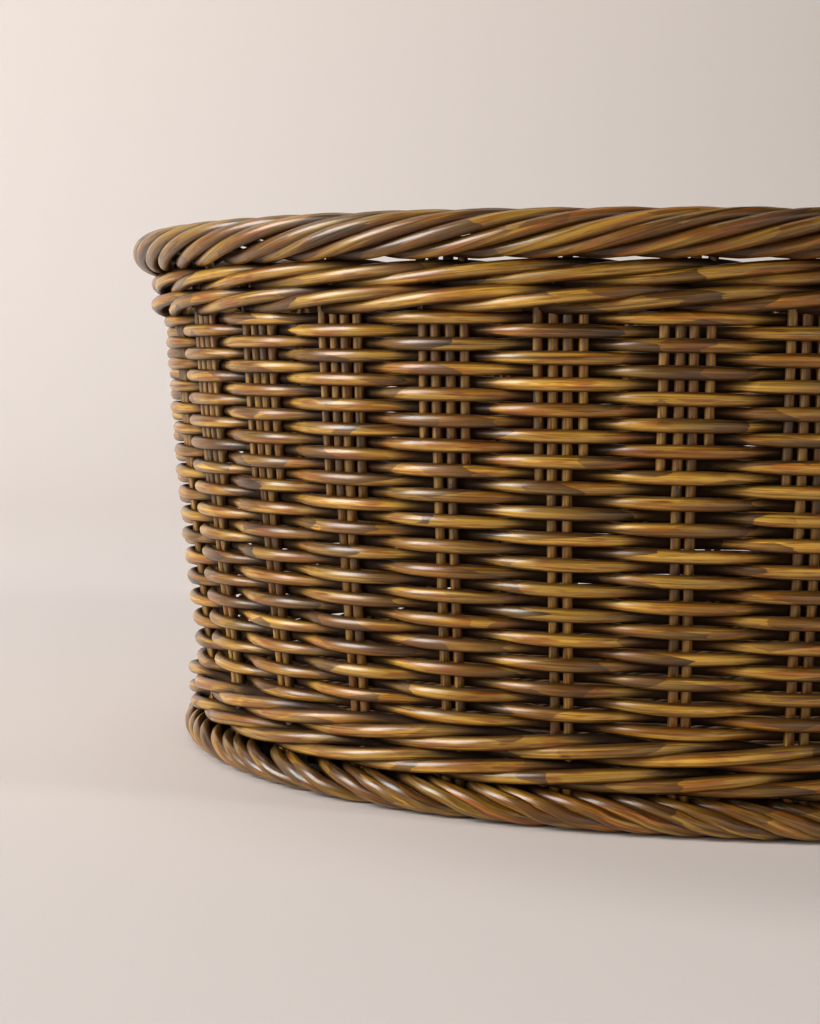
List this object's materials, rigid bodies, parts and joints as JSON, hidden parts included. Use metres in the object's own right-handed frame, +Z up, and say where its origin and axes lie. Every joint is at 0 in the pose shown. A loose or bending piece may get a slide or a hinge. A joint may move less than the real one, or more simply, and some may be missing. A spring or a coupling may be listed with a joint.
{
  "type": "wicker pet bed basket",
  "caption": "Low oval wicker basket for a pet to sleep in, woven on upright stakes, with a rolled rim and a plaited foot.",
  "frame": {"origin": "on the ground, under the middle of the basket", "axes": "+X along the long axis of the oval, +Z up"},
  "size_m": [0.656, 0.527, 0.2412],
  "materials": {
    "border_rattan": "satin",
    "weaver_rattan": "satin",
    "stake_rattan": "satin",
    "floor_rattan": "satin"
  },
  "bodies": {
    "root": {"foot_border": "border_rattan", "base_weave": "floor_rattan", "base_edge_ring": "floor_rattan", "lower_wale": "weaver_rattan", "side_weave": "weaver_rattan", "upper_wale": "weaver_rattan", "rim_border": "border_rattan", "base_bearer_01": "stake_rattan", "base_bearer_02": "stake_rattan", "base_bearer_03": "stake_rattan", "base_bearer_04": "stake_rattan", "base_stick_01": "stake_rattan", "base_stick_02": "stake_rattan", "base_stick_03": "stake_rattan", "base_stick_04": "stake_rattan", "base_stick_05": "stake_rattan", "base_stick_06": "stake_rattan", "base_stick_07": "stake_rattan", "base_stick_08": "stake_rattan", "base_stick_09": "stake_rattan", "stake_group_01": "stake_rattan", "stake_group_02": "stake_rattan", "stake_group_03": "stake_rattan", "stake_group_04": "stake_rattan", "stake_group_05": "stake_rattan", "stake_group_06": "stake_rattan", "stake_group_07": "stake_rattan", "stake_group_08": "stake_rattan", "stake_group_09": "stake_rattan", "stake_group_10": "stake_rattan", "stake_group_11": "stake_rattan", "stake_group_12": "stake_rattan", "stake_group_13": "stake_rattan", "stake_group_14": "stake_rattan", "stake_group_15": "stake_rattan", "stake_group_16": "stake_rattan", "stake_group_17": "stake_rattan", "stake_group_18": "stake_rattan", "stake_group_19": "stake_rattan", "stake_group_20": "stake_rattan", "stake_group_21": "stake_rattan", "stake_group_22": "stake_rattan", "stake_group_23": "stake_rattan", "stake_group_24": "stake_rattan", "stake_group_25": "stake_rattan", "stake_group_26": "stake_rattan", "stake_group_27": "stake_rattan", "stake_group_28": "stake_rattan", "stake_group_29": "stake_rattan", "stake_group_30": "stake_rattan", "stake_group_31": "stake_rattan", "stake_group_32": "stake_rattan", "stake_group_33": "stake_rattan", "stake_group_34": "stake_rattan", "stake_group_35": "stake_rattan", "stake_group_36": "stake_rattan"}
  },
  "joints": []
}
